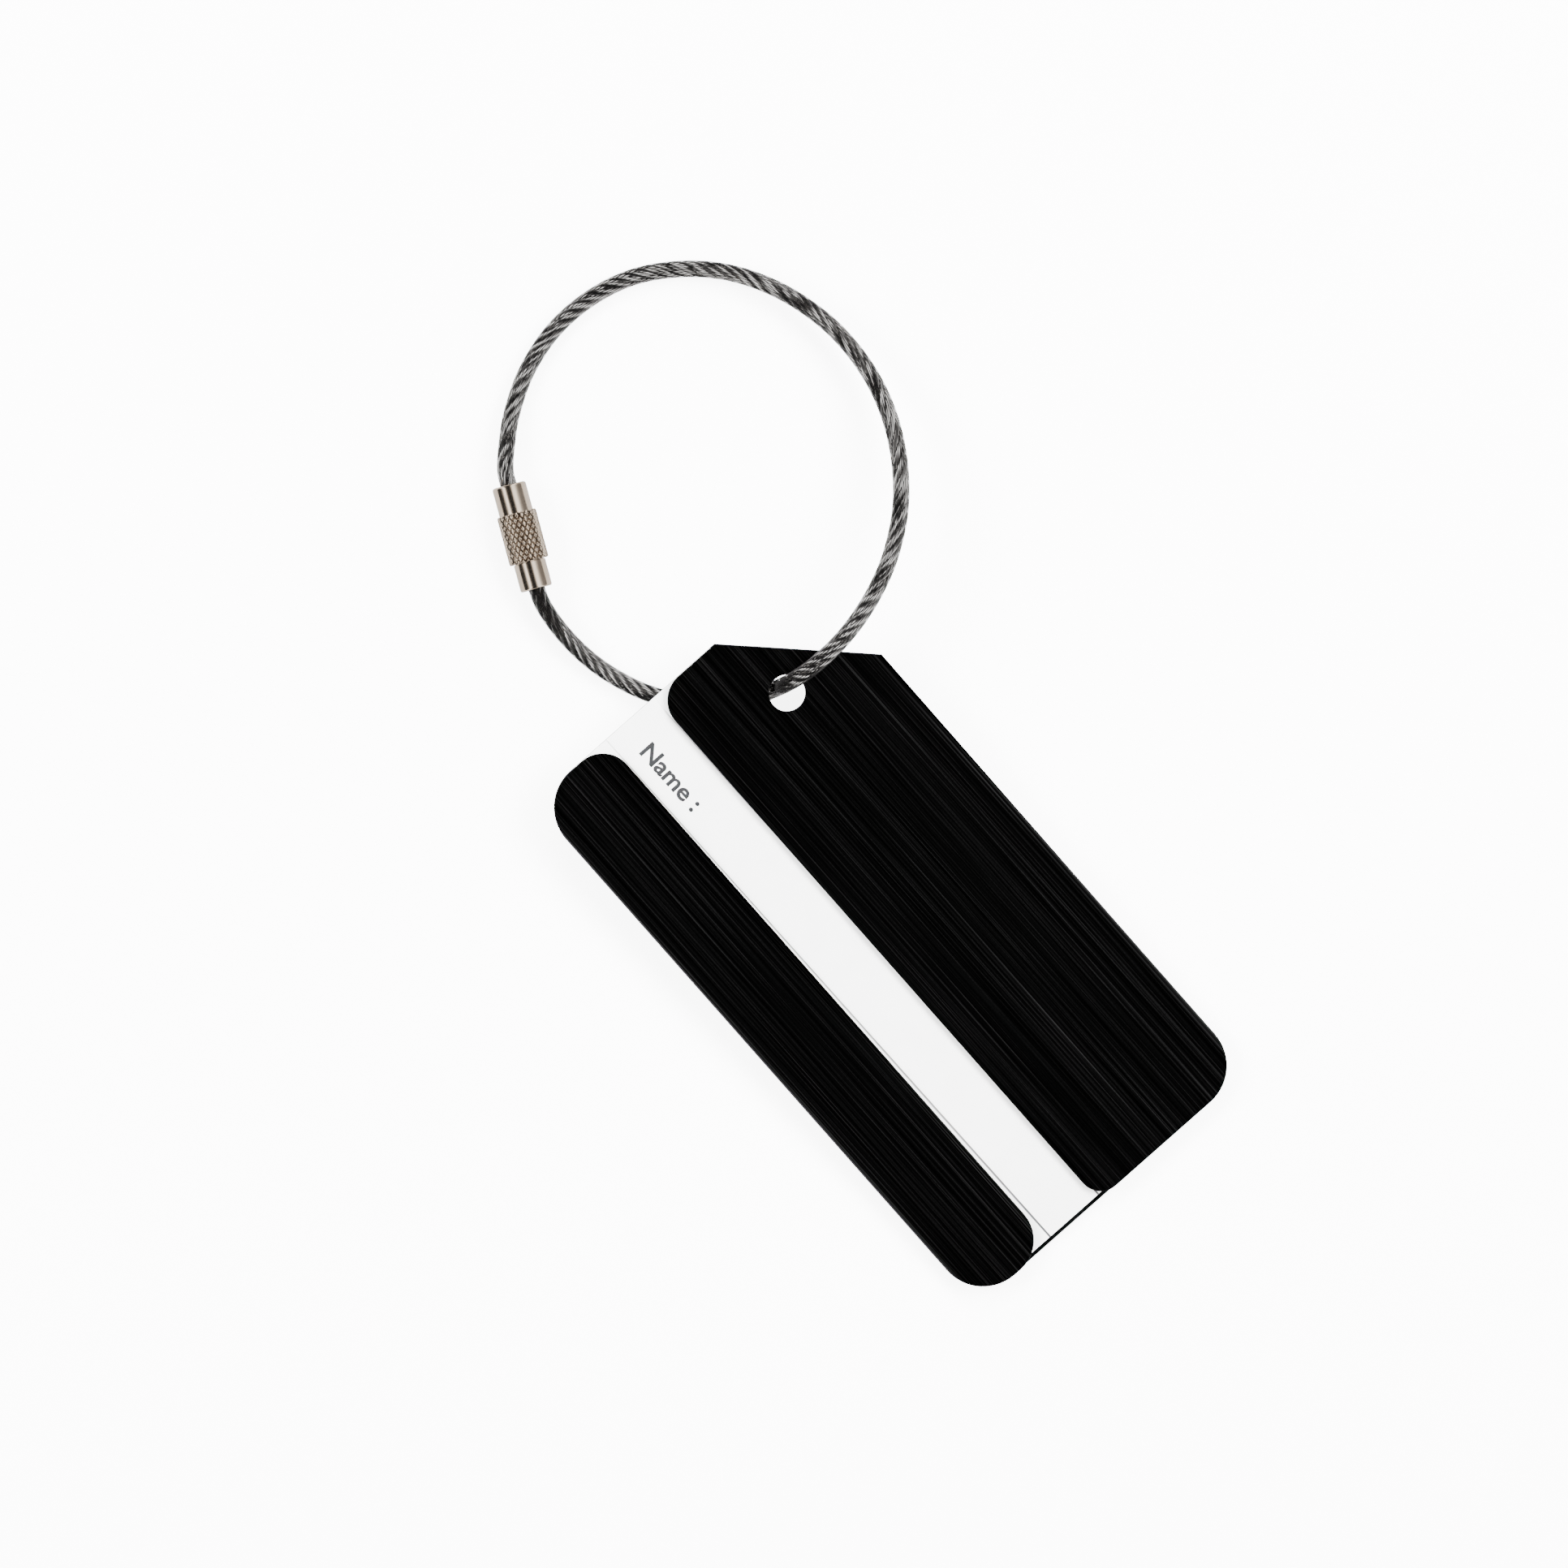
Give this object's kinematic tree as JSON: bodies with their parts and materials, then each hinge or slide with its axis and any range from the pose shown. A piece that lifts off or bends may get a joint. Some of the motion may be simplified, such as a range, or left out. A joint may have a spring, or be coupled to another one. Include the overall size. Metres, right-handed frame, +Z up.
{
  "type": "luggage tag",
  "caption": "Slim metal luggage tag folded from one sheet, with a slide-in name card behind a front slot and a loop of wire rope closed by a knurled screw clasp.",
  "frame": {"origin": "on the surface that the tag lies on, at the middle of the case and card as seen from above", "axes": "+Z up, away from that surface; +Y along the case's length, towards its hole; +X towards its cut corner"},
  "size_m": [0.0651, 0.1218, 0.0094],
  "materials": {
    "anodised_case": "black anodised, brushed along its length",
    "card": "smooth white card, printed field label",
    "wire_rope": "stranded steel wire in a thin clear jacket",
    "nickel": "nickel plated brass, bright, knurled grip"
  },
  "bodies": {
    "case": {"case": "anodised_case"},
    "card": {"name_card": "card"},
    "loop": {"cable": "wire_rope", "clasp_stud": "nickel"},
    "stop": {"cable_stop": "nickel"},
    "barrel": {"clasp_barrel": "nickel"}
  },
  "joints": [
    {"name": "card_slide", "type": "slide", "parent": "case", "child": "card", "axis": [0, -0.9986, -0.0523], "range_m": [0, 0.0805]},
    {"name": "loop_turn", "type": "hinge", "parent": "case", "child": "loop", "pos_m": [0.0099, 0.02996, 0.00466], "axis": [0, 0, 1], "range_deg": [-90, 20]},
    {"name": "clasp_travel", "type": "slide", "parent": "loop", "child": "stop", "axis": [0.4431, 0.8965, 0], "range_m": [0, 0.002]},
    {"name": "clasp_screw", "type": "hinge", "parent": "stop", "child": "barrel", "pos_m": [-0.00421, 0.0589, 0.00243], "axis": [0.4431, 0.8965, 0], "range_deg": [0, 1440]}
  ],
  "couplings": [
    {"joint": "clasp_screw", "follows": "clasp_travel", "rad_per_m": 12566}
  ]
}
